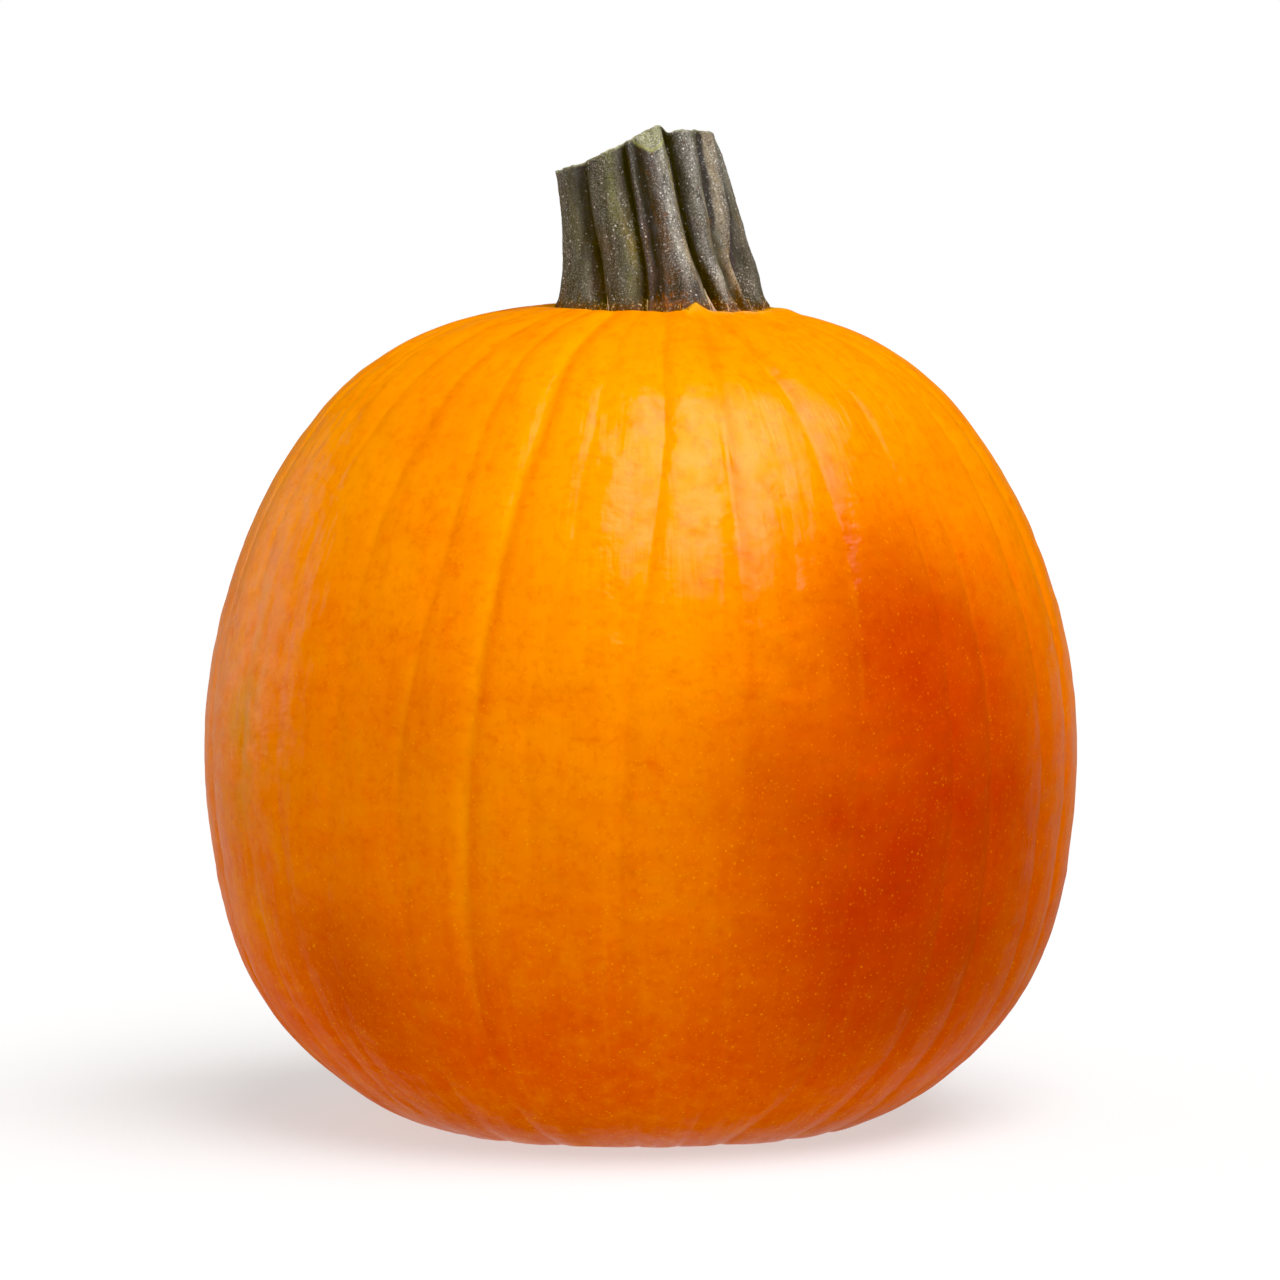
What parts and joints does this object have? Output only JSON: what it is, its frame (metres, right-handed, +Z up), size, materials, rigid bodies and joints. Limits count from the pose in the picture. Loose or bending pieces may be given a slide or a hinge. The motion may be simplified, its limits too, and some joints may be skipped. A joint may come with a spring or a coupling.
{
  "type": "pumpkin",
  "caption": "Ripe orange pumpkin with shallow ribs and a thick leaning cut stalk; stands on the flattened ring round its blossom end.",
  "frame": {"origin": "centre of the whole part's box, on the plane it stands on", "axes": "+Z up along the fruit's axis to the stalk, -Y towards the front, +X to the right seen from the front"},
  "size_m": [0.231, 0.231, 0.2629],
  "materials": {
    "rind": null,
    "stalk": "dry grey-green cork with pale specks, matt"
  },
  "bodies": {
    "root": {"fruit": "rind", "stem": "stalk"}
  },
  "joints": []
}
